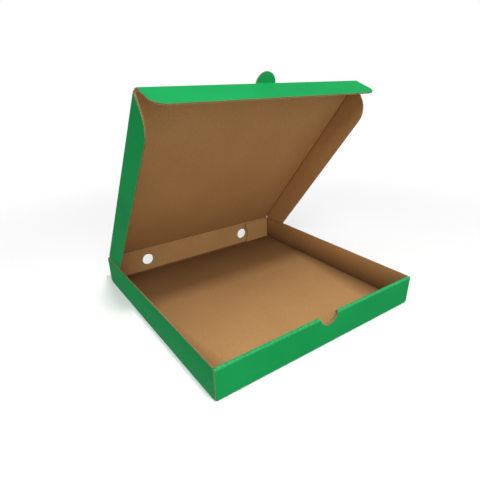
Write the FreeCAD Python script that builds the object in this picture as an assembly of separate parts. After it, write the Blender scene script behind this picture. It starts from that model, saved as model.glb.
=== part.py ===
import FreeCAD, Part
import math
import os

# A pizza box folded from one die-cut sheet of fine-fluted corrugated board.
# Millimetres. x runs to the right, y from the front to the rear, z up.
# The origin is the middle of the tray's underside. The lid stands open, as in use.

# The board and how it folds
board = 1.5
fold_inner_radius = 0.5
layer_gap = 0.2

# The tray
tray_width = 330.0
tray_depth = 330.0
tray_height = 43.0

# The corner flaps that join the tray's walls
front_corner_flap_length = 60.0
front_corner_flap_taper = 8.0
rear_corner_flap_length = 58.4
rear_corner_flap_slant = 3.4
rear_corner_flap_drop = 2.5
vent_margin = 4.0

# The rear wall's two vent holes
vent_diameter = 19.0
vent_spacing = 198.0
vent_height = 21.5

# The finger notch in the middle of the front wall
notch_radius = 15.0
notch_depth = 14.0

# The tabs that lock the front wall's inner layer into the floor
lock_tab_width = 45.0
lock_tab_spacing = 180.0
lock_tab_lift = 0.2
lock_slot_play = 0.5

# The creases that the lid and its flaps turn on
crease_play = 0.15
crease_bead_radius = 0.9
crease_end_play = 0.3

# The lid and its flaps
lid_rest_angle = 52.0
lid_lift = 0.15
lid_side_play = 0.5
lid_front_play = 0.6
flap_depth = 40.0
flap_corner_gap = 3.0
front_flap_rest_angle = 72.0
front_flap_corner_radius = 16.0
side_flap_rest_angle = 90.0
side_flap_rear_gap = 3.2
side_flap_wall_gap = 0.3
side_flap_rear_radius = 3.0
side_flap_front_setback = 13.0
side_flap_front_radius = 26.0

# The pull tab, cut out of the lid's front edge
pull_tab_radius = 14.5
pull_tab_play = 0.7
pull_tab_rest_angle = 82.0

# What follows from the sizes above
half_width = tray_width / 2
half_depth = tray_depth / 2
half_board = board / 2
fold_outer_radius = fold_inner_radius + board
inner_half_width = half_width - board
inner_rear = half_depth - board
front_wall_thickness = 3 * board + 2 * layer_gap
front_wall_inner_face = -half_depth + front_wall_thickness
lock_slot_top = board + fold_inner_radius

hinge_y = half_depth - half_board
hinge_z = tray_height + lid_lift + half_board
hinge_setback = half_board + crease_play
lid_underside = tray_height + lid_lift
lid_rear = hinge_y - hinge_setback
lid_front = front_wall_inner_face + lid_front_play + board
side_fold = inner_half_width - lid_side_play - board
side_flap_rear = hinge_y - side_flap_rear_gap
side_flap_front = lid_front + flap_corner_gap
groove_radius = crease_bead_radius + crease_play
pull_tab_cutout_radius = pull_tab_radius + pull_tab_play
tab_crease_y = lid_front + half_board + crease_play
tab_crease_z = lid_underside + half_board
tab_start_y = tab_crease_y + hinge_setback

smallest_edge = 1e-6
X_AXIS = FreeCAD.Vector(1, 0, 0)
Y_AXIS = FreeCAD.Vector(0, 1, 0)
Z_AXIS = FreeCAD.Vector(0, 0, 1)


def box(x_range, y_range, z_range):
    """A block between two x, two y and two z values."""
    low = FreeCAD.Vector(x_range[0], y_range[0], z_range[0])
    size = FreeCAD.Vector(x_range[1], y_range[1], z_range[1]) - low
    return Part.makeBox(size.x, size.y, size.z, low)


def rod(radius, start, end):
    """A round bar from one point to another."""
    start = FreeCAD.Vector(*start)
    run = FreeCAD.Vector(*end) - start
    return Part.makeCylinder(radius, run.Length, start, run)


def left_of(direction):
    """The direction a quarter turn to the left, in the profile's own plane."""
    return FreeCAD.Vector(-direction.y, direction.x, 0)


def bend(corner, before, after, middle_radius, offset):
    """The three points of the arc that one face of the board follows round a corner of its path."""
    d_in = (corner - before).normalize()
    d_out = (after - corner).normalize()
    side = 1 if left_of(d_in).dot(d_out) > 0 else -1
    tangent = middle_radius * math.tan(d_in.getAngle(d_out) / 2)
    centre = corner - d_in * tangent + left_of(d_in) * side * middle_radius
    radius = middle_radius - side * offset
    n_in = left_of(d_in) * side
    n_out = left_of(d_out) * side
    n_mid = (n_in + n_out).normalize()
    return [centre - n * radius for n in (n_in, n_mid, n_out)]


def face_line(path, offset):
    """The line that one face of the board follows, as end points and arcs' three points."""
    middle_radius = fold_inner_radius + half_board
    first = path[0] + left_of((path[1] - path[0]).normalize()) * offset
    last = path[-1] + left_of((path[-1] - path[-2]).normalize()) * offset
    arcs = [
        bend(path[i], path[i - 1], path[i + 1], middle_radius, offset)
        for i in range(1, len(path) - 1)
    ]
    return [[first]] + arcs + [[last]]


def face_within(stations):
    """A flat face whose outline joins single points and the three points of arcs, in order."""
    edges = []
    for here, following in zip(stations, stations[1:] + stations[:1]):
        if len(here) == 3:
            edges.append(Part.Arc(*here).toShape())
        if not here[-1].isEqual(following[0], smallest_edge):
            edges.append(Part.LineSegment(here[-1], following[0]).toShape())
    return Part.Face(Part.Wire(edges))


def folded_board(path, place, run):
    """Board seen edge-on along a path of straight runs with rounded folds, swept along run.

    The path is the board's middle line, as pairs of numbers, and place turns a pair into a point.
    """
    corners = [FreeCAD.Vector(u, v, 0) for u, v in path]
    stations = face_line(corners, half_board)
    stations += [list(reversed(s)) for s in reversed(face_line(corners, -half_board))]
    stations = [[place(p.x, p.y) for p in station] for station in stations]
    return face_within(stations).extrude(run)


def rounded_sheet(corners, z_low):
    """A flat piece of board whose outline is a list of x, y and corner radius."""
    points = [FreeCAD.Vector(x, y, z_low) for x, y, _ in corners]
    stations = []
    for i, (_, _, radius) in enumerate(corners):
        corner = points[i]
        if radius == 0:
            stations.append([corner])
            continue
        d_in = (corner - points[i - 1]).normalize()
        d_out = (points[(i + 1) % len(points)] - corner).normalize()
        tangent = radius * math.tan(d_in.getAngle(d_out) / 2)
        start = corner - d_in * tangent
        end = corner + d_out * tangent
        to_centre = (d_out - d_in).normalize()
        centre = corner + to_centre * math.hypot(tangent, radius)
        stations.append([start, centre - to_centre * radius, end])
    return face_within(stations).extrude(Z_AXIS * board)


def fuse_all(shapes):
    """One solid from several that touch or overlap, with the seams between flush faces removed."""
    return shapes[0].fuse(shapes[1:]).removeSplitter()


def mirrored(shape):
    """The same shape on the other side of the middle of the box."""
    return shape.mirror(FreeCAD.Vector(0, 0, 0), X_AXIS)


def floor_and_sides():
    """The floor and both side walls, with the rounded folds between them."""
    middle = half_width - half_board
    path = [
        (-middle, tray_height),
        (-middle, half_board),
        (middle, half_board),
        (middle, tray_height),
    ]
    start = -half_depth + fold_outer_radius
    end = inner_rear - layer_gap - fold_outer_radius
    return folded_board(path, lambda u, v: FreeCAD.Vector(u, start, v), Y_AXIS * (end - start))


def corner_flap(side, wall_y, towards, length, z_top):
    """A side wall's end, folded round an upright corner. It stands from the top of the floor's fold.

    wall_y is the flap's outer face and towards is 1 where the flap ends the wall at the rear.
    """
    flap_y = wall_y - towards * half_board
    wall_x = side * (half_width - half_board)
    path = [
        (wall_x, flap_y - towards * 2 * fold_outer_radius),
        (wall_x, flap_y),
        (side * (half_width - length), flap_y),
    ]
    z_low = fold_outer_radius
    return folded_board(path, lambda u, v: FreeCAD.Vector(u, v, z_low), Z_AXIS * (z_top - z_low))


def front_corner_flap(side):
    """The flap held between the front wall's two layers. Its free end narrows to the top."""
    wall_y = -half_depth + board + layer_gap
    z_top = tray_height - board - layer_gap
    flap = corner_flap(side, wall_y, -1, front_corner_flap_length, z_top)
    tip = side * (half_width - front_corner_flap_length)
    inner = tip + side * front_corner_flap_taper
    corners = [(tip, fold_outer_radius), (tip, z_top), (inner, z_top)]
    wire = Part.makePolygon([FreeCAD.Vector(x, wall_y, z) for x, z in corners + corners[:1]])
    return flap.cut(Part.Face(wire).extrude(Y_AXIS * board))


def rear_corner_flap(side, wall_y):
    """The flap on the rear wall, whose free end is cut hollow to leave the vent hole open."""
    z_top = tray_height - rear_corner_flap_drop
    flap = corner_flap(side, wall_y, 1, rear_corner_flap_length, z_top)
    tip = side * (half_width - rear_corner_flap_length)
    inner = tip + side * rear_corner_flap_slant
    corners = [(tip, z_top), (tip, fold_outer_radius), (inner, fold_outer_radius)]
    wire = Part.makePolygon([FreeCAD.Vector(x, wall_y, z) for x, z in corners + corners[:1]])
    slant = Part.Face(wire).extrude(Y_AXIS * -board)
    return flap.cut([slant, vent_hole(side, vent_diameter / 2 + vent_margin)])


def vent_hole(side, radius):
    """The round bar that opens a vent hole or the room round it."""
    x = side * vent_spacing / 2
    reach = half_depth + 2 * fold_outer_radius
    return rod(radius, (x, inner_rear - 2 * fold_outer_radius, vent_height), (x, reach, vent_height))


def side_wall_ends():
    """The stretches of side wall between the floor's folds and the rear corner folds."""
    z_range = (fold_outer_radius, tray_height)
    y_start = -half_depth + board + layer_gap + fold_outer_radius
    left_end = half_depth + layer_gap + board - fold_outer_radius
    right_end = inner_rear - layer_gap - fold_outer_radius
    left = box((-half_width, -inner_half_width), (y_start, left_end), z_range)
    right = box((inner_half_width, half_width), (y_start, right_end), z_range)
    return [left, right]


def front_wall():
    """The rolled-over front wall: an outer layer, a narrow top and an inner layer."""
    outer_middle = -half_depth + half_board
    inner_middle = front_wall_inner_face - half_board
    start_y = -half_depth + fold_outer_radius
    inner_bottom = board + layer_gap
    path = [
        (start_y, half_board),
        (outer_middle, half_board),
        (outer_middle, tray_height - half_board),
        (inner_middle, tray_height - half_board),
        (inner_middle, inner_bottom),
    ]
    reach = half_width - fold_outer_radius
    roll = folded_board(path, lambda u, v: FreeCAD.Vector(-reach, u, v), X_AXIS * 2 * reach)
    outer_range = (-half_depth, -half_depth + board)
    z_range = (fold_outer_radius, tray_height)
    right_end = box((reach, half_width), outer_range, z_range)
    return fuse_all([roll, right_end, mirrored(right_end)])


def lock_places():
    """The middle of each locking tab."""
    return [-lock_tab_spacing / 2, lock_tab_spacing / 2]


def lock_tab(x):
    """A tab of the front wall's inner layer, standing in its slot in the floor."""
    x_range = (x - lock_tab_width / 2, x + lock_tab_width / 2)
    y_range = (front_wall_inner_face - board, front_wall_inner_face)
    return box(x_range, y_range, (lock_tab_lift, lock_slot_top + layer_gap))


def lock_slot(x):
    """The slot in the floor. It reaches the outer layer, which runs straight down beside it."""
    half = lock_tab_width / 2 + lock_slot_play
    y_range = (-half_depth + board, front_wall_inner_face + layer_gap)
    return box((x - half, x + half), y_range, (-board, lock_slot_top))


def straight_foot(x):
    """The outer layer beside a slot, where there is no fold to round its foot."""
    half = lock_tab_width / 2 + lock_slot_play
    y_range = (-half_depth, -half_depth + board)
    return box((x - half, x + half), y_range, (0, fold_outer_radius))


def finger_notch():
    """The round bar that cuts the half-round notch through the whole front wall."""
    z = tray_height - notch_depth + notch_radius
    start = (0, -half_depth - board, z)
    end = (0, front_wall_inner_face + board, z)
    return rod(notch_radius, start, end)


def rear_wall():
    """The rear wall, up to the round top edge that the lid turns on, with its vent holes."""
    reach = half_width - fold_outer_radius
    start_y = inner_rear - layer_gap - fold_outer_radius
    path = [(start_y, half_board), (hinge_y, half_board), (hinge_y, tray_height)]
    fold = folded_board(path, lambda u, v: FreeCAD.Vector(-reach, u, v), X_AXIS * 2 * reach)
    right_end = box((reach, half_width), (inner_rear, half_depth), (fold_outer_radius, tray_height))
    rise = box((-side_fold, side_fold), (inner_rear, half_depth), (tray_height - board, hinge_z))
    bead = rod(half_board, (-side_fold, hinge_y, hinge_z), (side_fold, hinge_y, hinge_z))
    wall = fuse_all([fold, right_end, rise, bead])
    return wall.cut([vent_hole(side, vent_diameter / 2) for side in (-1, 1)])


def tray():
    """The floor, four walls and corner flaps, all one piece of folded board."""
    walls = [floor_and_sides(), front_wall(), rear_wall()]
    walls += side_wall_ends()
    walls += [front_corner_flap(side) for side in (-1, 1)]
    walls.append(rear_corner_flap(1, inner_rear - layer_gap))
    walls.append(rear_corner_flap(-1, half_depth + layer_gap + board))
    walls += [straight_foot(x) for x in lock_places()]
    shape = fuse_all(walls)
    shape = shape.cut([lock_slot(x) for x in lock_places()] + [finger_notch()])
    return fuse_all([shape] + [lock_tab(x) for x in lock_places()])


def side_crease(side, radius, y_range):
    """The round bar along a side fold of the flat lid."""
    x = side * side_fold
    return rod(radius, (x, y_range[0], lid_underside), (x, y_range[1], lid_underside))


def front_crease(radius, start_x, end_x):
    """The round bar along one half of the front fold of the flat lid."""
    return rod(radius, (start_x, lid_front, lid_underside), (end_x, lid_front, lid_underside))


def lid_panel():
    """The closed lid's flat panel, with the beads that its flaps turn on and the tab's cut-out."""
    z_range = (lid_underside, lid_underside + board)
    panel = box((-side_fold, side_fold), (lid_front, lid_rear), z_range)
    bead_range = (side_flap_front + crease_end_play, side_flap_rear - crease_end_play)
    front_end = side_fold - board - crease_end_play
    right_front = front_crease(crease_bead_radius, pull_tab_cutout_radius, front_end)
    beads = [side_crease(side, crease_bead_radius, bead_range) for side in (-1, 1)]
    beads += [right_front, mirrored(right_front)]
    cutout = rod(
        pull_tab_cutout_radius,
        (0, lid_front, lid_underside - board),
        (0, lid_front, lid_underside + 2 * board),
    )
    return fuse_all([panel] + beads).cut(cutout)


def front_flap():
    """The lid's front flap, flat, with the neck that carries the pull tab."""
    reach = side_fold - board
    root = lid_front - crease_play
    tip = lid_front - flap_depth
    corners = [
        (-reach, root, 0),
        (-reach, tip, front_flap_corner_radius),
        (reach, tip, front_flap_corner_radius),
        (reach, root, 0),
    ]
    sheet = rounded_sheet(corners, lid_underside)
    groove = front_crease(groove_radius, pull_tab_radius, half_width)
    sheet = sheet.cut([groove, mirrored(groove)])
    neck_reach = tab_half_width(tab_start_y)
    z_range = (lid_underside, lid_underside + board)
    neck = box((-neck_reach, neck_reach), (root - board, tab_crease_y), z_range)
    bead = rod(
        half_board,
        (-neck_reach, tab_crease_y, tab_crease_z),
        (neck_reach, tab_crease_y, tab_crease_z),
    )
    return fuse_all([sheet, neck, bead])


def tab_half_width(y):
    """How far the pull tab's round outline reaches to each side at one distance from the fold."""
    return math.sqrt(pull_tab_radius**2 - (y - lid_front) ** 2)


def pull_tab():
    """The half-round pull tab, flat, where it lies in the lid before it is folded up."""
    disc = rod(pull_tab_radius, (0, lid_front, lid_underside), (0, lid_front, lid_underside + board))
    z_range = (lid_underside - board, lid_underside + 2 * board)
    y_range = (lid_front - 2 * pull_tab_radius, tab_start_y)
    return disc.cut(box((-half_width, half_width), y_range, z_range))


def depth_over_wall(distance):
    """How deep a side flap may be at a distance from the hinge, to clear the wall under the open lid."""
    angle = math.radians(lid_rest_angle)
    rise = distance * math.sin(angle) + hinge_z - tray_height - side_flap_wall_gap
    return rise / math.cos(angle) - half_board


def right_side_flap():
    """The lid's right flap, flat. It slants at the front, and at the rear along the wall below."""
    root = side_fold + crease_play
    tip = side_fold + flap_depth
    front_tip = side_flap_front + side_flap_front_setback
    rear_depth = depth_over_wall(side_flap_rear_gap)
    slant = (flap_depth - rear_depth) / math.tan(math.radians(lid_rest_angle))
    corners = [
        (root, side_flap_front, 0),
        (tip, front_tip, side_flap_front_radius),
        (tip, side_flap_rear - slant, side_flap_rear_radius),
        (side_fold + rear_depth, side_flap_rear, 0),
        (root, side_flap_rear, 0),
    ]
    sheet = rounded_sheet(corners, lid_underside)
    return sheet.cut(side_crease(1, groove_radius, (side_flap_front, side_flap_rear)))


def turned(shape, point, axis, angle):
    """A copy of a shape, turned about an axis through a point."""
    copy = shape.copy()
    copy.rotate(FreeCAD.Vector(*point), axis, angle)
    return copy


def opened(shape):
    """A part of the closed lid, turned up with the lid to where it stands open."""
    return turned(shape, (0, hinge_y, hinge_z), X_AXIS, -lid_rest_angle)


def folded_side_flap():
    """The right flap, folded down from the closed lid."""
    crease = (side_fold, 0, lid_underside)
    return turned(right_side_flap(), crease, Y_AXIS, side_flap_rest_angle)


def with_front_flap(shape):
    """A part of the flat front flap, folded down from the closed lid."""
    return turned(shape, (0, lid_front, lid_underside), X_AXIS, front_flap_rest_angle)


def folded_pull_tab():
    """The pull tab, bent forward from the front flap, and folded down with it."""
    bent = turned(pull_tab(), (0, tab_crease_y, tab_crease_z), X_AXIS, pull_tab_rest_angle)
    return with_front_flap(bent)


def parts():
    """Every piece in its place, with the lid open."""
    right_flap = folded_side_flap()
    return {
        "tray": tray(),
        "lid_panel": opened(lid_panel()),
        "lid_front_flap": opened(with_front_flap(front_flap())),
        "pull_tab": opened(folded_pull_tab()),
        "lid_left_flap": opened(mirrored(right_flap)),
        "lid_right_flap": opened(right_flap),
    }


os.makedirs("parts", exist_ok=True)
for name, shape in parts().items():
    solid = shape.Solids[0]
    print(name, len(shape.Solids), shape.isValid(), round(solid.Volume), len(solid.Faces))
    shape.exportStep("parts/" + name + ".step")
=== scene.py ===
import cmath
import math

import bmesh
import bpy
import numpy as np
from mathutils import Matrix, Vector
from mathutils.geometry import delaunay_2d_cdt


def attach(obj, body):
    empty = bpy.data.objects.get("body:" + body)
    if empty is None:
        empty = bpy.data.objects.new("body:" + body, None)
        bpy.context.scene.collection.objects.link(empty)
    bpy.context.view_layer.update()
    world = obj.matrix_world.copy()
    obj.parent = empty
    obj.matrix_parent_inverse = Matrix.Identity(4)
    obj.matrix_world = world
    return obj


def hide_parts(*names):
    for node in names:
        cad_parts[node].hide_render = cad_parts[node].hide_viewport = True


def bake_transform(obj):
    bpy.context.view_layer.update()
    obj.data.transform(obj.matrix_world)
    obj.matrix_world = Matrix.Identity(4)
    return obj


# The looks of a pizza box that is cut and folded from one sheet of corrugated board.
# Every sheet is drawn flat, as it is die-cut, and then folded into its place. In a flat sheet
# u runs across the flutes, v along them, and h from the plain kraft face to the printed one.
# The object's lengths are in millimetres up to the moment a mesh is made, and its angles in degrees.
MM = 0.001

# The board: two liners with a fluted medium between them, which keeps the least gap from both.
# The flute ends lie back by the edge recess, a slit is half the width of a cut in the blank, and
# the tray's folds are rounder than the lid's creases.
board = 1.5
liner = 0.25
medium = 0.2
flute_pitch = 3.3
steps_per_flute = 8
edge_recess = 0.8
least_gap = 0.02
fold_inner_radius = 0.5
rows_per_fold = 6
crease_wear_margin = 1.0
crease_inner_radius = 0.05
layer_gap = 0.2
slit = 0.1

# The tray
tray_width = 330.0
tray_depth = 330.0
tray_height = 43.0
front_corner_flap_length = 60.0
front_corner_flap_taper = 8.0
rear_corner_flap_length = 58.4
rear_corner_flap_slant = 3.4
rear_corner_flap_drop = 2.5
rear_corner_flap_spring = 2.0
vent_margin = 4.0
vent_diameter = 19.0
vent_spacing = 198.0
vent_height = 21.5
notch_radius = 15.0
notch_depth = 14.0
lock_tab_width = 45.0
lock_tab_spacing = 180.0
lock_tab_lift = 0.2
lock_slot_play = 0.5
lock_slot_depth = 3.0

# The lid, its flaps and the pull tab
lid_rest_angle = 52.0
lid_lift = 0.15
lid_side_play = 0.5
lid_front_play = 0.6
flap_depth = 40.0
flap_corner_gap = 3.0
front_flap_rest_angle = 72.0
front_flap_corner_radius = 16.0
side_flap_rest_angle = 90.0
side_flap_rear_gap = 3.2
side_flap_wall_gap = 0.3
side_flap_rear_radius = 3.0
side_flap_front_setback = 13.0
side_flap_front_radius = 26.0
pull_tab_radius = 14.5
pull_tab_play = 0.7
pull_tab_rest_angle = 82.0
crease_play = 0.15
crease_reach = 1.5
hinge_reach = 1.3
tab_crease_reach = 1.0
crease_end_gap = 0.3

# What follows from the sizes above
half_board = board / 2
fold_outer_radius = fold_inner_radius + board
fold_middle_radius = fold_inner_radius + half_board
crease_radius = crease_inner_radius + half_board
half_width = tray_width / 2
half_depth = tray_depth / 2
inner_rear = half_depth - board
wall_middle = half_width - half_board
front_wall_thickness = 3 * board + 2 * layer_gap
front_wall_inner_face = -half_depth + front_wall_thickness
hinge_y = half_depth - half_board
hinge_z = tray_height + lid_lift + half_board
lid_underside = tray_height + lid_lift
lid_front = front_wall_inner_face + lid_front_play + board
side_fold = half_width - board - lid_side_play - board
side_flap_rear = hinge_y - side_flap_rear_gap
side_flap_front = lid_front + flap_corner_gap
tab_crease_v = -half_board - crease_play
cutout_radius = pull_tab_radius + pull_tab_play

# How finely the shapes are drawn, from which angle on an edge is sharp, and how close two places
# are taken for one. The sharpest mitre is 1 plus the cosine of the sharpest turn that the cut
# edge's profile is mitred for in full.
arc_step = 5.0
sharp_angle = 35.0
sharpest_mitre = 0.5
same_place = 1e-6
merge_distance = 1e-7

# The material slots of every sheet
printed_slot = 0
kraft_slot = 1
edge_slot = 2

# The camera, fitted to the corners of the tray in a frame of 480 by 480 pixels
frame_pixels = 480
camera_focal_pixels = 387.654
camera_centre_pixels = (243.443, 258.13)
camera_azimuth = -35.052
camera_elevation = 25.367
camera_roll = -0.831
camera_distance = 673.963
camera_target = (37.281, 69.818, 20.0)
sensor_width = 36.0

# The studio, in metres: how near and how far the camera sees, the floor, and where the lamps aim
camera_near = 0.01
camera_far = 100.0
floor_reach = 6.0
floor_drop = 0.0003
floor_fade_start = 0.35
floor_fade_end = 0.8
lamp_aim = (0, 0, 0.1)

# How bright the studio is: the floor as the camera sees it and as it lights the box, and the
# light from all round. The background is white.
floor_seen_shade = 0.93
floor_bounce_shade = 0.40
surround_strength = 0.34

# Colours, as shares of red, green and blue, and opaque
white = (1, 1, 1, 1)
print_deep = (0.009, 0.27, 0.068, 1)
print_light = (0.012, 0.315, 0.082, 1)
print_grain = (0.02, 0.46, 0.15, 1)
print_worn = (0.16, 0.56, 0.30, 1)
kraft_deep = (0.50, 0.272, 0.100, 1)
kraft_light = (0.57, 0.318, 0.124, 1)
kraft_mottle = (0.42, 0.21, 0.07, 1)
kraft_fibre = (0.56, 0.35, 0.17, 1)
kraft_speck = (0.20, 0.10, 0.04, 1)
kraft_flute_shadow = (0.27, 0.15, 0.065, 1)
# Painted shade inside the kraft's folds, where the board bends in
kraft_crease_shade = (0.09, 0.04, 0.016, 1)
edge_deep = (0.34, 0.19, 0.09, 1)
edge_light = (0.60, 0.42, 0.25, 1)
# Painted shade in the flute ends of the cut edge: lighter at the kraft face, darkest under the print
flute_shade_kraft_side = (0.15, 0.05, 0.02, 1)
flute_shade_print_side = (0.01, 0.008, 0.005, 1)

# How the print shines and how far its grain and its worn creases change it
print_roughness = 0.36
print_grain_roughness = 0.10
print_wear_roughness = 0.25
print_refraction = 1.05
print_grain_strength = 0.10
print_wear_strength = 0.4
print_flute_height = 0.5
print_grain_height = 0.3
print_bump = 0.03

# The same for the kraft and for the cut edge
kraft_roughness = 0.86
kraft_shine = 0.08
kraft_flute_height = 0.6
kraft_fibre_height = 0.6
kraft_fibre_density = (300.0, 1400.0, 300.0)
kraft_bump = 0.05
edge_roughness = 0.92
edge_shine = 0.15
edge_bump = 0.06


class FoldPath:
    """A line of straight runs joined by arcs, measured along the middle of the board."""

    def __init__(self, corners, radius):
        self.runs = []
        self.arcs = []
        corners = [complex(*corner) for corner in corners]
        here = corners[0]
        length = 0.0
        for i, corner in enumerate(corners[1:], 1):
            heading = (corner - here) / abs(corner - here)
            turn = 0.0
            if i < len(corners) - 1:
                turn = cmath.phase((corners[i + 1] - corner) / heading)
            straight = abs(corner - here) - radius * math.tan(abs(turn) / 2)
            self.runs.append((length, here, heading, 0.0))
            length += straight
            here += heading * straight
            if turn:
                self.runs.append((length, here, heading, math.copysign(1 / radius, turn)))
                self.arcs.append((length, length + radius * abs(turn)))
                centre = here + heading * 1j * math.copysign(radius, turn)
                length += radius * abs(turn)
                here = centre + (here - centre) * cmath.exp(1j * turn)
        self.length = length

    def at(self, s, right):
        """The point s along the line and some way to the right of it."""
        start, point, heading, curve = [run for run in self.runs if run[0] <= max(s, 0)][-1]
        along = s - start
        if curve:
            turned = heading * cmath.exp(1j * curve * along)
            point += (turned - heading) / (1j * curve)
            heading = turned
        else:
            point += heading * along
        point += heading * -1j * right
        return point.real, point.imag


class Fold:
    """A crease across a flat sheet.

    The board bends between start and end along one axis, 0 for u or 1 for v, and the crease
    reaches from low to high on the other.
    """

    def __init__(self, axis, start, end, low, high):
        self.axis = axis
        self.start = start
        self.end = end
        self.low = low
        self.high = high

    def rows(self):
        """Where lines of points cross the sheet, so that it can bend and its wear can fade."""
        bend = np.linspace(self.start, self.end, rows_per_fold + 1)
        return [self.start - crease_wear_margin, *bend, self.end + crease_wear_margin]

    def wear(self, points):
        """1 on the crease, fading to 0 beside it."""
        across = points[:, self.axis]
        along = points[:, 1 - self.axis]
        away = np.maximum(self.start - across, across - self.end)
        wear = np.clip(1 - away / crease_wear_margin, 0, 1)
        return np.where((along >= self.low) & (along <= self.high), wear, 0)


def signed_area(loop):
    """Positive for a loop that runs counterclockwise."""
    x, y = np.array(loop).T
    return (x * np.roll(y, -1) - y * np.roll(x, -1)).sum() / 2


def row_shares(here, there, fold):
    """Where the rows of a fold cross the line from here to there, as shares of its length."""
    run = there[fold.axis] - here[fold.axis]
    if run == 0:
        return []
    other = 1 - fold.axis
    shares = []
    for value in fold.rows():
        share = (value - here[fold.axis]) / run
        place = here[other] + share * (there[other] - here[other])
        if 0 < share < 1 and fold.low <= place <= fold.high:
            shares.append(share)
    return shares


def split(loop, folds):
    """The loop with points added along each flute's wave and where it crosses the rows of a fold."""
    longest = flute_pitch / steps_per_flute
    points = []
    for here, there in zip(loop, loop[1:] + loop[:1]):
        steps = math.ceil(abs(there[0] - here[0]) / longest)
        shares = {0.0, *np.linspace(0, 1, steps + 1)[:-1]}
        for fold in folds:
            shares.update(row_shares(here, there, fold))
        last = None
        for share in sorted(shares):
            if last is None or (share - last > same_place and share < 1 - same_place):
                points.append([a + share * (b - a) for a, b in zip(here, there)])
                last = share
    return points


def inside(points, loops):
    """Whether each point lies in the sheet, which the loops bound."""
    starts = np.concatenate([np.array(loop) for loop in loops])
    ends = np.concatenate([np.roll(np.array(loop), -1, axis=0) for loop in loops])
    found = []
    for x, y in points:
        crosses = (starts[:, 1] > y) != (ends[:, 1] > y)
        a, b = starts[crosses], ends[crosses]
        reached = a[:, 0] + (y - a[:, 1]) / (b[:, 1] - a[:, 1]) * (b[:, 0] - a[:, 0])
        found.append(np.count_nonzero(reached > x) % 2 == 1)
    return found


def row_edges(points, folds, loops):
    """Pairs of points that the rows of the folds join across the sheet."""
    pairs = []
    for fold in folds:
        other = points[:, 1 - fold.axis]
        in_range = (other >= fold.low) & (other <= fold.high)
        for value in fold.rows():
            near = np.flatnonzero(in_range & (abs(points[:, fold.axis] - value) < same_place))
            near = near[np.argsort(other[near])]
            joins = list(zip(near[:-1], near[1:]))
            middles = [(points[a] + points[b]) / 2 for a, b in joins]
            pairs += [pair for pair, held in zip(joins, inside(middles, loops)) if held]
    return [(int(a), int(b)) for a, b in pairs]


def loop_edges(loops):
    """Pairs of neighbouring points, for loops whose points are numbered one after another."""
    edges = []
    first = 0
    for loop in loops:
        count = len(loop)
        edges += [(first + i, first + (i + 1) % count) for i in range(count)]
        first += count
    return edges


def within(triangles, boundary):
    """The triangles on the left of the boundary, found by going from one to the next inside it."""
    owners = {}
    for i, triangle in enumerate(triangles):
        for edge in zip(triangle, triangle[1:] + triangle[:1]):
            owners[edge] = i
    closed = set(boundary)
    found = set()
    waiting = [owners[edge] for edge in boundary]
    while waiting:
        i = waiting.pop()
        if i in found:
            continue
        found.add(i)
        triangle = triangles[i]
        for a, b in zip(triangle, triangle[1:] + triangle[:1]):
            if (a, b) not in closed:
                waiting.append(owners[b, a])
    return [triangles[i] for i in sorted(found)]


def inward(loop):
    """For each point of a loop, the mitred direction into the sheet, which lies on the left."""
    points = np.array(loop)
    ahead = np.roll(points, -1, axis=0) - points
    ahead /= np.linalg.norm(ahead, axis=1)[:, None]
    behind = np.roll(ahead, 1, axis=0)
    onward = ahead + behind
    left = np.stack([-onward[:, 1], onward[:, 0]], axis=1)
    return left / np.maximum((left**2).sum(axis=1) / 2, sharpest_mitre)[:, None]


def edge_profile(u):
    """The cut edge at one place, from the printed face to the kraft one: depth into the board, and h."""
    wave = (half_board - liner - medium / 2 - least_gap) * math.sin(2 * math.pi * u / flute_pitch)
    ribbon_top = half_board + wave + medium / 2
    ribbon_bottom = half_board + wave - medium / 2
    return [
        (0, board - liner),
        (edge_recess, board - liner),
        (edge_recess, ribbon_top),
        (0, ribbon_top),
        (0, ribbon_bottom),
        (edge_recess, ribbon_bottom),
        (edge_recess, liner),
        (0, liner),
    ]


def filled(name, loops, folds):
    """The flat sheet that the loops bound: its points, its triangles and the edges round it."""
    points = np.concatenate([np.array(loop) for loop in loops])
    boundary = loop_edges(loops)
    wanted = boundary + row_edges(points, folds, loops)
    verts, _, triangles, *_ = delaunay_2d_cdt([Vector(p) for p in points], wanted, [], 0, merge_distance)
    if len(verts) != len(points):
        raise ValueError(f"{name}: its flat outline crosses itself")
    points = np.array([tuple(vert) for vert in verts])
    return points, within([tuple(triangle) for triangle in triangles], boundary), boundary


def sheet(name, outline, place, holes=(), folds=()):
    """A piece of board: its flat outline and holes, and place, which turns u, v and h into a point."""
    loops = [outline if signed_area(outline) > 0 else outline[::-1]]
    loops += [hole if signed_area(hole) < 0 else hole[::-1] for hole in holes]
    loops = [split(loop, folds) for loop in loops]
    points, triangles, boundary = filled(name, loops, folds)
    count = len(points)
    flat = [(u, v, board) for u, v in points] + [(u, v, 0.0) for u, v in points]
    recess = [0.0] * len(flat)
    faces = triangles + [tuple(count + i for i in reversed(triangle)) for triangle in triangles]
    slots = [printed_slot] * len(triangles) + [kraft_slot] * len(triangles)
    profiles = []
    for loop in loops:
        for (u, v), (du, dv) in zip(loop, inward(loop)):
            profile = edge_profile(u)
            first = len(flat)
            flat += [(u + depth * du, v + depth * dv, h) for depth, h in profile]
            recess += [depth / edge_recess for depth, h in profile]
            at = len(profiles)
            profiles.append([at, *range(first, len(flat)), count + at])
    for a, b in boundary:
        band = list(zip(profiles[a], profiles[a][1:], profiles[b][1:], profiles[b]))
        faces += band
        slots += [edge_slot] * len(band)

    mesh = bpy.data.meshes.new(name)
    mesh.from_pydata([Vector(place(*p)) * MM for p in flat], [], faces)
    mesh.polygons.foreach_set("material_index", slots)
    for material in (printed, kraft, cut_edge):
        mesh.materials.append(material)
    keep_on_points(mesh, np.array(flat), recess, folds)
    return closed_object(name, mesh, smooth=bool(folds))


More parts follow.
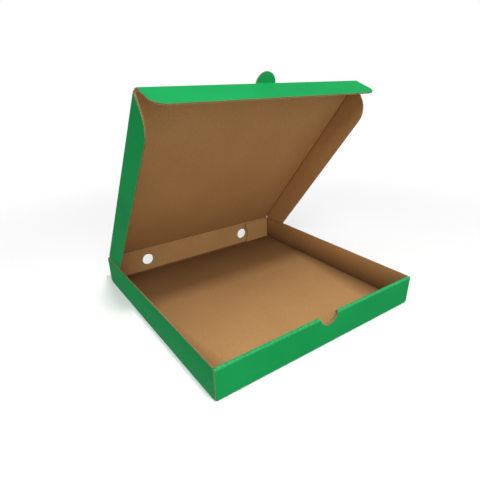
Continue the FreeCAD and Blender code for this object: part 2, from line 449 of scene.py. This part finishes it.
def keep_on_points(mesh, flat, recess, folds):
    """Keeps what the materials need on each point: its flat place, its depth in the edge, its crease."""
    wear = np.zeros(len(flat))
    for fold in folds:
        wear = np.maximum(wear, fold.wear(flat))
    mesh.attributes.new("flat", "FLOAT_VECTOR", "POINT").data.foreach_set("vector", (flat * MM).ravel())
    mesh.attributes.new("crease", "FLOAT", "POINT").data.foreach_set("value", wear)
    mesh.attributes.new("recess", "FLOAT", "POINT").data.foreach_set("value", recess)


def closed_object(name, mesh, smooth):
    """An object for a closed mesh, with its faces turned outwards. Only a folded sheet is shaded smooth."""
    bm = bmesh.new()
    bm.from_mesh(mesh)
    bmesh.ops.recalc_face_normals(bm, faces=bm.faces)
    bm.to_mesh(mesh)
    bm.free()
    mesh.polygons.foreach_set("use_smooth", [smooth] * len(mesh.polygons))
    if smooth:
        mesh.set_sharp_from_angle(angle=math.radians(sharp_angle))
    piece = bpy.data.objects.new(name, mesh)
    bpy.context.scene.collection.objects.link(piece)
    return piece


def arc_points(centre, radius, start, end):
    """Points along an arc, from one angle to another, in radians."""
    steps = math.ceil(abs(end - start) / math.radians(arc_step))
    angles = np.linspace(start, end, steps + 1)
    return [[centre[0] + radius * math.cos(a), centre[1] + radius * math.sin(a)] for a in angles]


def rounded(corners):
    """A loop of points from a list of corners, each its u, v and radius."""
    loop = []
    for i, (u, v, radius) in enumerate(corners):
        corner = complex(u, v)
        if radius == 0:
            loop.append([u, v])
            continue
        before = complex(*corners[i - 1][:2])
        after = complex(*corners[(i + 1) % len(corners)][:2])
        heading = (corner - before) / abs(corner - before)
        turn = cmath.phase((after - corner) / heading)
        centre = corner - heading * radius * math.tan(abs(turn) / 2)
        centre += heading * 1j * math.copysign(radius, turn)
        first = cmath.phase(heading * -1j * math.copysign(1, turn))
        loop += arc_points((centre.real, centre.imag), radius, first, first + turn)
    return loop


def mirrored(loop):
    """The same loop on the other side of the middle, in an order that keeps its direction."""
    return [[-u, v] for u, v in reversed(loop)]


# The tray is one blank. Across the box its side walls fold up from the floor, and from front to
# rear it runs through the front wall's inner layer, its top, its outer layer, the floor and the
# rear wall. Each side wall goes on into a corner flap at both ends.
inner_middle = front_wall_inner_face - half_board
inner_bottom = board + layer_gap
spine = FoldPath(
    [
        (inner_middle, inner_bottom),
        (inner_middle, tray_height - half_board),
        (-hinge_y, tray_height - half_board),
        (-hinge_y, half_board),
        (hinge_y, half_board),
        (hinge_y, tray_height),
    ],
    fold_middle_radius,
)
cross = FoldPath(
    [
        (0, half_board),
        (wall_middle, half_board),
        (wall_middle, tray_height),
    ],
    fold_middle_radius,
)

# The stretches that bend along both lines, each from its start to its end
inner_top_fold, outer_top_fold, front_foot_fold, rear_foot_fold = spine.arcs
side_foot_fold = cross.arcs[0]

# Where the middle of the floor is along the spine, and how far from it the side walls go straight
spine_origin = front_foot_fold[1] + half_depth - fold_outer_radius
corner_start = inner_rear - layer_gap - fold_outer_radius


def corner_plan(flap_middle, spring=0):
    """A side wall seen from above, with the corner flap that ends it.

    spring is how far the flap's free end stands off the wall that it lies on.
    """
    leaning = flap_middle - spring * wall_middle / rear_corner_flap_length
    return FoldPath([(wall_middle, 0), (wall_middle, flap_middle), (0, leaning)], fold_middle_radius)


inside_plan = corner_plan(inner_rear - layer_gap - half_board)
sprung_plan = corner_plan(inner_rear - layer_gap - half_board, rear_corner_flap_spring)
outside_plan = corner_plan(half_depth + layer_gap + half_board)


def plan_of(side, v):
    """Only the left rear corner flap lies outside its wall. The right rear one springs off it inside."""
    if v < 0:
        return inside_plan
    return outside_plan if side < 0 else sprung_plan


def tray_point(u, v, h):
    """Where a point of the flat blank is in the folded tray."""
    side = math.copysign(1, u)
    right = h - half_board
    if abs(u) > half_width:
        x, y = plan_of(side, v).at(abs(v), right)
        return side * x, math.copysign(y, v), side_height(abs(u))
    if abs(v) <= corner_start:
        x, z = cross.at(abs(u), right)
        return side * x, v, z
    y, z = spine.at(v + spine_origin, right)
    return u, y, z


def side_height(u):
    """The height that a point of the blank's side has in the folded wall."""
    return fold_outer_radius + u - side_foot_fold[1]


def side_u(z):
    """The place across the blank of a height on a side wall."""
    return side_foot_fold[1] + z - fold_outer_radius


def rear_v(z):
    """The place along the blank of a height on the rear wall."""
    return rear_foot_fold[1] + z - fold_outer_radius - spine_origin


def front_v(z):
    """The place along the blank of a height on the front wall's outer layer."""
    return front_foot_fold[0] - (z - fold_outer_radius) - spine_origin


def inner_v(z):
    """The place along the blank of a height on the front wall's inner layer."""
    return z - inner_bottom - spine_origin


def flap_v(plan, x):
    """The place along the blank of a distance from the middle of the box on a corner flap."""
    return plan.arcs[0][1] + half_width - fold_outer_radius - x


def front_flap_end(side):
    """The outline of a front corner flap, from its foot to its top."""
    plan = plan_of(side, -1)
    tip = half_width - front_corner_flap_length
    top = tray_height - board - layer_gap
    return [
        [half_width + slit, -flap_v(plan, tip)],
        [side_u(top), -flap_v(plan, tip + front_corner_flap_taper)],
        [side_u(top), -plan.arcs[0][0]],
    ]


def rear_flap_end(side):
    """The outline of a rear corner flap, from its top to its foot, hollowed out beside the vent."""
    plan = plan_of(side, 1)
    tip = half_width - rear_corner_flap_length
    top = tray_height - rear_corner_flap_drop
    slope = rear_corner_flap_slant / (top - fold_outer_radius)
    loop = [[side_u(top), plan.arcs[0][0]], [side_u(top), flap_v(plan, tip)]]
    hollow = arc_points(
        (vent_spacing / 2, vent_height), vent_diameter / 2 + vent_margin, math.pi / 2, -math.pi / 2
    )
    for x, z in hollow:
        if x > tip + slope * (top - z):
            loop.append([side_u(z), flap_v(plan, x)])
    loop.append([half_width + slit, flap_v(plan, tip + rear_corner_flap_slant)])
    return loop


def blank_side(side):
    """Half of the blank's outline, from the front to the rear, drawn as if it were the right half."""
    fold_reach = half_width - fold_outer_radius
    tab_reach = (lock_tab_spacing - lock_tab_width) / 2
    tab_end = tab_reach + lock_tab_width
    strip_start = inner_top_fold[1] - spine_origin
    strip_end = outer_top_fold[0] - spine_origin
    wall_foot = fold_outer_radius + slit
    rear_reach = half_width - slit
    if side < 0:
        # The left wall goes on outside the rear wall, which ends short of it
        rear_reach = half_width - board - layer_gap
    return [
        [tab_reach, inner_v(inner_bottom)],
        [tab_reach, inner_v(lock_tab_lift)],
        [tab_end, inner_v(lock_tab_lift)],
        [tab_end, inner_v(inner_bottom)],
        [fold_reach, inner_v(inner_bottom)],
        [fold_reach, strip_start],
        [half_width - slit, strip_end],
        [half_width - slit, front_v(wall_foot)],
        [fold_reach, front_v(wall_foot)],
        [fold_reach, -corner_start],
        [half_width + slit, -corner_start],
        *front_flap_end(side),
        [side_u(tray_height), -plan_of(side, -1).arcs[0][0]],
        [side_u(tray_height), plan_of(side, 1).arcs[0][0]],
        *rear_flap_end(side),
        [half_width + slit, corner_start],
        [fold_reach, corner_start],
        [fold_reach, rear_v(wall_foot)],
        [rear_reach, rear_v(wall_foot)],
        [rear_reach, rear_v(tray_height)],
        [side_fold, rear_v(tray_height)],
        [side_fold, rear_v(hinge_z - hinge_reach)],
    ]


def notch_loop():
    """The finger notch, which goes down through both layers of the front wall."""
    centre_z = tray_height - notch_depth + notch_radius
    rim = math.asin((centre_z - tray_height + fold_outer_radius) / notch_radius)
    edge = arc_points((0, centre_z), notch_radius, -rim, rim - math.pi)
    outer = [[x, front_v(z)] for x, z in edge]
    inner = [[x, inner_v(z)] for x, z in reversed(edge)]
    return outer + inner


def vent_loop(side):
    """One of the two round vents in the rear wall."""
    centre = (side * vent_spacing / 2, rear_v(vent_height))
    return arc_points(centre, vent_diameter / 2, 0, 2 * math.pi)[:-1]


def slot_loop(side):
    """The slot in the floor that a locking tab stands in."""
    half = lock_tab_width / 2 + lock_slot_play
    middle = side * lock_tab_spacing / 2
    front = -half_depth + fold_outer_radius + slit
    rear = front + lock_slot_depth
    return [[middle - half, front], [middle + half, front], [middle + half, rear], [middle - half, rear]]


def tray_folds():
    """Every crease of the blank."""
    folds = []
    for start, end in spine.arcs:
        folds.append(Fold(1, start - spine_origin, end - spine_origin, -half_width, half_width))
    for side in (-1, 1):
        low, high = sorted(side * s for s in side_foot_fold)
        folds.append(Fold(0, low, high, -corner_start - slit, corner_start + slit))
        panel = sorted((side * half_width, side * side_u(tray_height)))
        for end in (-1, 1):
            low, high = sorted(end * s for s in plan_of(side, end).arcs[0])
            folds.append(Fold(1, low, high, *panel))
    return folds


def make_tray():
    """The whole tray, cut as one blank and folded."""
    outline = blank_side(1) + mirrored(blank_side(-1))
    holes = [notch_loop(), vent_loop(-1), vent_loop(1), slot_loop(-1), slot_loop(1)]
    piece = sheet("tray_board", outline, tray_point, holes, tray_folds())
    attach(piece, "tray")
    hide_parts("tray")


def turned(point, centre, angle):
    """A point in a plane, turned about a centre by an angle in degrees."""
    moved = complex(*centre) + (complex(*point) - complex(*centre)) * cmath.exp(1j * math.radians(angle))
    return moved.real, moved.imag


def lid_point(x, y, z):
    """A point of the closed lid, moved to where the open lid has it."""
    return (x, *turned((y, z), (hinge_y, hinge_z), -lid_rest_angle))


def panel_point(u, v, h):
    """A point of the lid's panel."""
    return lid_point(u, v, lid_underside + h)


def front_flap_point(u, v, h):
    """A point of the front flap, where v is its distance from the crease."""
    flat = (lid_front - v, lid_underside + h)
    return lid_point(u, *turned(flat, (lid_front, lid_underside), front_flap_rest_angle))


def pull_tab_point(u, v, h):
    """A point of the pull tab, bent forward from the neck of the front flap."""
    crease = (lid_front - tab_crease_v, lid_underside + half_board)
    bent = turned((lid_front - v, lid_underside + h), crease, pull_tab_rest_angle)
    return lid_point(u, *turned(bent, (lid_front, lid_underside), front_flap_rest_angle))


def side_flap_point(side):
    """The function that places a side flap, where u is the distance from its crease."""

    def place(u, v, h):
        x, z = turned((side_fold + u, lid_underside + h), (side_fold, lid_underside), -side_flap_rest_angle)
        return lid_point(side * x, v, z)

    return place


def make_lid_panel():
    """The lid's flat panel, with the half-round place the pull tab was cut from."""
    rear = hinge_y - hinge_reach
    corner = side_fold - board
    right = [
        [cutout_radius, lid_front],
        [cutout_radius + crease_end_gap, lid_front],
        [cutout_radius + crease_end_gap, lid_front + crease_reach],
        [corner, lid_front + crease_reach],
        [corner, lid_front],
        [side_fold, lid_front],
        [side_fold, side_flap_front],
        [side_fold - crease_reach, side_flap_front],
        [side_fold - crease_reach, side_flap_rear],
        [side_fold, side_flap_rear],
        [side_fold, rear],
    ]
    cutout = arc_points((0, lid_front), cutout_radius, math.pi, 0)
    piece = sheet("lid_board", right + mirrored(right) + cutout[1:-1], panel_point)
    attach(piece, "lid")
    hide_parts("lid_panel")


def neck_reach():
    """Half the width of the pull tab's neck, where its round outline meets the crease."""
    return math.sqrt(pull_tab_radius**2 - (tab_crease_reach - tab_crease_v) ** 2)


def make_front_flap():
    """The lid's front flap, with the neck that the pull tab bends from."""
    reach = side_fold - board
    neck = tab_crease_v + tab_crease_reach
    # The last corner is the left one, which the round corner turns towards
    *right, _ = rounded(
        [
            (neck_reach(), neck, 0),
            (neck_reach(), crease_reach, 0),
            (reach, crease_reach, 0),
            (reach, flap_depth, front_flap_corner_radius),
            (-reach, flap_depth, 0),
        ]
    )
    piece = sheet("front_flap_board", right + mirrored(right), front_flap_point)
    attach(piece, "front_flap")
    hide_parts("lid_front_flap")


def make_pull_tab():
    """The half-round pull tab."""
    root = tab_crease_v - tab_crease_reach
    start = math.asin(-root / pull_tab_radius)
    outline = arc_points((0, 0), pull_tab_radius, -start, start - math.pi)
    piece = sheet("pull_tab_board", outline, pull_tab_point)
    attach(piece, "pull_tab")
    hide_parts("pull_tab")


def make_side_flap(side, name):
    """One of the lid's side flaps. It slants at the front, and at the rear along the wall below."""
    angle = math.radians(lid_rest_angle)
    rise = side_flap_rear_gap * math.sin(angle) + hinge_z - tray_height - side_flap_wall_gap
    rear_depth = rise / math.cos(angle) - half_board
    slant = (flap_depth - rear_depth) / math.tan(angle)
    outline = rounded(
        [
            (crease_reach, side_flap_front, 0),
            (flap_depth, side_flap_front + side_flap_front_setback, side_flap_front_radius),
            (flap_depth, side_flap_rear - slant, side_flap_rear_radius),
            (rear_depth, side_flap_rear, 0),
            (crease_reach, side_flap_rear, 0),
        ]
    )
    piece = sheet(name + "_board", outline, side_flap_point(side))
    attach(piece, name)
    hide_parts("lid_" + name)


def crease_path(bend, reach, axis_inside):
    """The middle line of a strip of board that bends, starting on the side that stays put.

    Its first number runs out from that side and its second from the kraft face to the printed
    one. bend is positive towards the kraft face. The axis lies on the kraft face if axis_inside
    is true, and in the middle of the board if not.
    """
    setback = crease_radius * math.tan(math.radians(abs(bend)) / 2)
    shift = setback if axis_inside else 0.0
    corner = complex(shift, half_board)
    end = corner + cmath.exp(-1j * math.radians(bend)) * (reach + shift)
    return FoldPath([(-reach, half_board), (corner.real, corner.imag), (end.real, end.imag)], crease_radius)


def crease_strip(name, bend, reach, axis_inside, run, place, flutes_along=False):
    """A strip of board bent by bend degrees, between two sheets on either side of it.

    run is the range along the crease. place turns a distance out from the axis, a height above
    the kraft face and a place along the crease into a point. flutes_along says that the flutes
    follow the crease and don't cross it.
    """
    path = crease_path(bend, reach, axis_inside)
    start, end = path.arcs[0]
    low, high = run

    def point(u, v, h):
        s, along = (u, v) if flutes_along else (v, u)
        return place(*path.at(s, half_board - h), along)

    corners = [(0, low), (path.length, low), (path.length, high), (0, high)]
    outline = [[s, along] if flutes_along else [along, s] for s, along in corners]
    fold = Fold(0 if flutes_along else 1, start, end, low - slit, high + slit)
    piece = sheet(name, outline, point, folds=[fold])
    outer = -math.copysign(half_board, bend)
    first, last = (Vector(place(*path.at(s, outer), (low + high) / 2)) * MM for s in (start, end))
    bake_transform(piece)


def hinge_place(out, rise, along):
    """A point of the strip between the rear wall and the lid."""
    return along, inner_rear + rise, hinge_z + out


def front_crease_place(out, rise, along):
    """A point of the strip between the lid's panel and its front flap."""
    return lid_point(along, lid_front - out, lid_underside + rise)


def tab_crease_place(out, rise, along):
    """A point of the strip between the front flap's neck and the pull tab."""
    return front_flap_point(along, tab_crease_v - out, rise)


def side_crease_place(side):
    """The function that places a strip between the lid's panel and a side flap."""

    def place(out, rise, along):
        return lid_point(side * (side_fold + out), along, lid_underside + rise)

    return place


def make_creases():
    """The strips of board that bend at the lid's hinge, at its flaps and at the pull tab."""
    crease_strip(
        "hinge_crease",
        90 - lid_rest_angle,
        hinge_reach,
        False,
        (-side_fold, side_fold),
        hinge_place,
    )
    for side, name in ((-1, "left_flap"), (1, "right_flap")):
        crease_strip(
            name + "_crease",
            side_flap_rest_angle,
            crease_reach,
            True,
            (side_flap_front, side_flap_rear),
            side_crease_place(side),
            flutes_along=True,
        )
    start = cutout_radius + crease_end_gap
    end = side_fold - board
    for name, run in (("front_crease_left", (-end, -start)), ("front_crease_right", (start, end))):
        crease_strip(
            name, front_flap_rest_angle, crease_reach, True, run, front_crease_place
        )
    crease_strip(
        "pull_tab_crease",
        -pull_tab_rest_angle,
        tab_crease_reach,
        False,
        (-neck_reach(), neck_reach()),
        tab_crease_place,
    )


class Nodes:
    """A short way to build the nodes of a material or of the world, and join them."""

    def __init__(self, owner):
        self.owner = owner
        self.owner.use_nodes = True
        self.tree = owner.node_tree
        self.tree.nodes.clear()

    def add(self, kind, inputs=None, **settings):
        """A node with its settings. Its inputs, by name or number, are values or other nodes' outputs."""
        node = self.tree.nodes.new(kind)
        for key, value in settings.items():
            setattr(node, key, value)
        for key, value in (inputs or {}).items():
            if isinstance(value, bpy.types.NodeSocket):
                self.tree.links.new(value, node.inputs[key])
            else:
                node.inputs[key].default_value = value
        return node

    def math(self, operation, a, b=0.0, c=0.0):
        """One step of arithmetic."""
        return self.add("ShaderNodeMath", {0: a, 1: b, 2: c}, operation=operation).outputs[0]

    def times(self, a, b):
        """The product of two values."""
        return self.math("MULTIPLY", a, b)

    def mix(self, share, a, b):
        """A colour between two others."""
        return self.add("ShaderNodeMix", {0: share, 6: a, 7: b}, data_type="RGBA").outputs[2]

    def attribute(self, name, output):
        """A value that the sheet's points carry."""
        return self.add("ShaderNodeAttribute", attribute_name=name).outputs[output]

    def noise(self, vector, scale, detail, roughness=0.5):
        """Smooth noise from 0 to 1, with about scale bumps to a metre."""
        inputs = {"Vector": vector, "Scale": scale, "Detail": detail, "Roughness": roughness}
        return self.add("ShaderNodeTexNoise", inputs).outputs[0]

    def stretched(self, vector, scale):
        """The vector with its three parts scaled by different amounts."""
        return self.add("ShaderNodeVectorMath", {0: vector, 1: scale}, operation="MULTIPLY").outputs[0]

    def spread(self, value, low, high):
        """A value moved from the range low to high onto 0 to 1."""
        return self.add("ShaderNodeMapRange", {0: value, 1: low, 2: high, 3: 0.0, 4: 1.0}).outputs[0]

    def part(self, vector, name):
        """The X, Y or Z of a vector."""
        return self.add("ShaderNodeSeparateXYZ", {"Vector": vector}).outputs[name]

    def flute_wave(self, flat):
        """A wave from 0 to 1 that follows the flutes under the liner."""
        phase = self.times(self.part(flat, "X"), 2 * math.pi / (flute_pitch * MM))
        return self.math("MULTIPLY_ADD", self.math("SINE", phase), 0.5, 0.5)

    def finish(self, inputs, height, bump_height):
        """Joins the inputs and a bump, its height in millimetres, to a shader and gives the material."""
        bump_inputs = {"Strength": 1.0, "Distance": bump_height * MM, "Height": height}
        bump = self.add("ShaderNodeBump", bump_inputs)
        shader = self.add("ShaderNodeBsdfPrincipled", {**inputs, "Normal": bump.outputs[0]})
        self.add("ShaderNodeOutputMaterial", {"Surface": shader.outputs[0]})
        return self.owner


def printed_material():
    """Green print under a satin varnish, faintly washboarded by the flutes and paler on its creases."""
    nodes = Nodes(bpy.data.materials.new("green_print"))
    flat = nodes.attribute("flat", "Vector")
    crease = nodes.attribute("crease", "Fac")
    cloud = nodes.noise(flat, scale=9.0, detail=2.0)
    grain = nodes.noise(flat, scale=900.0, detail=4.0)
    scuffs = nodes.noise(flat, scale=420.0, detail=5.0, roughness=0.7)
    worn = nodes.times(crease, nodes.spread(scuffs, low=0.35, high=0.75))
    colour = nodes.mix(nodes.spread(cloud, low=0.3, high=0.7), print_deep, print_light)
    colour = nodes.mix(nodes.times(grain, print_grain_strength), colour, print_grain)
    colour = nodes.mix(nodes.times(worn, print_wear_strength), colour, print_worn)
    satin = nodes.math("MULTIPLY_ADD", grain, print_grain_roughness, print_roughness)
    roughness = nodes.math("MULTIPLY_ADD", worn, print_wear_roughness, satin)
    washboard = nodes.times(nodes.flute_wave(flat), print_flute_height)
    height = nodes.math("ADD", washboard, nodes.times(grain, print_grain_height))
    inputs = {"Base Color": colour, "Roughness": roughness, "IOR": print_refraction}
    return nodes.finish(inputs, height, print_bump)


def kraft_material():
    """Plain brown kraft, with fibres and specks, a faint painted shadow of the flutes, and painted shade in
    its creases.
    """
    nodes = Nodes(bpy.data.materials.new("plain_kraft"))
    flat = nodes.attribute("flat", "Vector")
    crease = nodes.attribute("crease", "Fac")
    cloud = nodes.noise(flat, scale=14.0, detail=3.0)
    mottle = nodes.noise(flat, scale=260.0, detail=5.0, roughness=0.75)
    across_flutes = nodes.stretched(flat, kraft_fibre_density)
    fibres = nodes.noise(across_flutes, scale=1.0, detail=4.0, roughness=0.65)
    specks = nodes.noise(flat, scale=800.0, detail=2.0, roughness=0.6)
    wave = nodes.flute_wave(flat)
    colour = nodes.mix(nodes.spread(cloud, low=0.3, high=0.7), kraft_deep, kraft_light)
    for strength, pattern, tint in (
        (0.35, nodes.spread(mottle, low=0.35, high=0.65), kraft_mottle),
        (0.4, nodes.spread(fibres, low=0.35, high=0.7), kraft_fibre),
        (0.6, nodes.spread(specks, low=0.58, high=0.7), kraft_speck),
        (0.06, wave, kraft_flute_shadow),
        # painted shade along the creases
        (0.85, crease, kraft_crease_shade),
    ):
        colour = nodes.mix(nodes.times(pattern, strength), colour, tint)
    washboard = nodes.times(wave, kraft_flute_height)
    height = nodes.math("ADD", washboard, nodes.times(fibres, kraft_fibre_height))
    inputs = {"Base Color": colour, "Roughness": kraft_roughness, "Specular IOR Level": kraft_shine}
    return nodes.finish(inputs, height, kraft_bump)


def cut_edge_material():
    """The board's cut edge: rough pale kraft, with painted shade in the flute ends that lie back in it,
    darkest under the print.
    """
    nodes = Nodes(bpy.data.materials.new("cut_edge"))
    flat = nodes.attribute("flat", "Vector")
    fibres = nodes.noise(flat, scale=2500.0, detail=4.0, roughness=0.7)
    rim = nodes.mix(nodes.spread(fibres, low=0.3, high=0.7), edge_deep, edge_light)
    height = nodes.spread(nodes.part(flat, "Z"), low=0.0, high=board * MM)
    # Painted shade in the flute ends, deeper towards the print side and the further back they lie
    painted_flute_shade = nodes.mix(height, flute_shade_kraft_side, flute_shade_print_side)
    colour = nodes.mix(nodes.attribute("recess", "Fac"), rim, painted_flute_shade)
    inputs = {"Base Color": colour, "Roughness": edge_roughness, "Specular IOR Level": edge_shine}
    return nodes.finish(inputs, fibres, edge_bump)


def floor_material():
    """Pale paper that fades to a shining white away from the box, and lights the box as a darker one."""
    nodes = Nodes(bpy.data.materials.new("pale_floor"))
    place = nodes.add("ShaderNodeNewGeometry").outputs["Position"]
    away = nodes.add("ShaderNodeVectorMath", {0: place}, operation="LENGTH").outputs["Value"]
    far = nodes.spread(away, low=floor_fade_start, high=floor_fade_end)
    seen = nodes.add("ShaderNodeLightPath").outputs["Is Camera Ray"]
    shade = nodes.math("MULTIPLY_ADD", seen, floor_seen_shade - floor_bounce_shade, floor_bounce_shade)
    paper = nodes.add("ShaderNodeBsdfDiffuse", {"Color": shade})
    shining = nodes.add("ShaderNodeEmission", {"Color": white, "Strength": 1.0})
    share = nodes.times(far, seen)
    mixed = nodes.add("ShaderNodeMixShader", {0: share, 1: paper.outputs[0], 2: shining.outputs[0]})
    nodes.add("ShaderNodeOutputMaterial", {"Surface": mixed.outputs[0]})
    return nodes.owner


def make_floor():
    """A square floor under the box."""
    corners = [(-1, -1), (1, -1), (1, 1), (-1, 1)]
    mesh = bpy.data.meshes.new("floor")
    mesh.from_pydata([(x * floor_reach, y * floor_reach, 0) for x, y in corners], [], [(0, 1, 2, 3)])
    mesh.materials.append(floor_material())
    floor = bpy.data.objects.new("floor", mesh)
    floor.location = (0, 0, -floor_drop)
    bpy.context.scene.collection.objects.link(floor)


def make_world():
    """Soft light from all round, behind a white background."""
    world = bpy.data.worlds.new("studio")
    bpy.context.scene.world = world
    nodes = Nodes(world)
    seen = nodes.add("ShaderNodeLightPath").outputs["Is Camera Ray"]
    soft = nodes.add("ShaderNodeBackground", {"Color": white, "Strength": surround_strength})
    background = nodes.add("ShaderNodeBackground", {"Color": white, "Strength": 1.0})
    mixed = nodes.add("ShaderNodeMixShader", {0: seen, 1: soft.outputs[0], 2: background.outputs[0]})
    nodes.add("ShaderNodeOutputWorld", {"Surface": mixed.outputs[0]})


def area_light(name, place, size, power):
    """A soft square lamp that looks at the box. Its place and size are in metres, its power in watts."""
    lamp = bpy.data.lights.new(name, "AREA")
    lamp.shape = "SQUARE"
    lamp.size = size
    lamp.energy = power
    lamp_object = bpy.data.objects.new(name, lamp)
    lamp_object.location = place
    lamp_object.rotation_euler = (Vector(lamp_aim) - Vector(place)).to_track_quat("-Z", "Y").to_euler()
    bpy.context.scene.collection.objects.link(lamp_object)


def make_lamps():
    """A small key lamp high up, two soft ones before the box, and a weak one behind it on the left."""
    area_light("key", place=(0.0, -0.8, 1.9), size=0.2, power=20.0)
    area_light("front", place=(-0.8, -1.45, 1.75), size=0.9, power=25.0)
    area_light("fill", place=(-0.45, -2.35, 0.75), size=1.2, power=11.0)
    area_light("left", place=(-1.3, 0.9, 0.8), size=1.0, power=4.0)


def make_camera():
    """The camera of the photograph, from the angles and the frame fitted to it."""
    azimuth = math.radians(camera_azimuth)
    elevation = math.radians(camera_elevation)
    back = Vector(
        (
            math.sin(azimuth) * math.cos(elevation),
            -math.cos(azimuth) * math.cos(elevation),
            math.sin(elevation),
        )
    )
    right = (-back).cross(Vector((0, 0, 1))).normalized()
    up = right.cross(-back)
    roll = math.radians(camera_roll)
    rolled_right = right * math.cos(roll) + up * math.sin(roll)
    rolled_up = up * math.cos(roll) - right * math.sin(roll)
    camera = bpy.data.cameras.new("camera")
    camera.sensor_width = sensor_width
    camera.lens = camera_focal_pixels / frame_pixels * sensor_width
    camera.shift_x = (frame_pixels / 2 - camera_centre_pixels[0]) / frame_pixels
    camera.shift_y = (camera_centre_pixels[1] - frame_pixels / 2) / frame_pixels
    camera.clip_start = camera_near
    camera.clip_end = camera_far
    camera_object = bpy.data.objects.new("camera", camera)
    turn = Matrix((rolled_right, rolled_up, back)).transposed()
    camera_object.matrix_world = turn.to_4x4()
    camera_object.location = (Vector(camera_target) + back * camera_distance) * MM
    bpy.context.scene.collection.objects.link(camera_object)
    bpy.context.scene.camera = camera_object


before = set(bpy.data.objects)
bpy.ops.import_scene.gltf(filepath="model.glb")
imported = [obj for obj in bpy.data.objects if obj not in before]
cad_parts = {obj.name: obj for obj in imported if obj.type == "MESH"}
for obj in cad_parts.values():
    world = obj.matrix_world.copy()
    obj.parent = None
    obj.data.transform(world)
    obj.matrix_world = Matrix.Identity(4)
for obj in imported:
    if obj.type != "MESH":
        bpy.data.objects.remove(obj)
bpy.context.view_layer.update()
bpy.context.scene.view_settings.view_transform = "Standard"
printed = printed_material()
kraft = kraft_material()
cut_edge = cut_edge_material()
make_tray()
make_lid_panel()
make_front_flap()
make_pull_tab()
make_side_flap(-1, "left_flap")
make_side_flap(1, "right_flap")
make_creases()
make_floor()
make_world()
make_lamps()
make_camera()
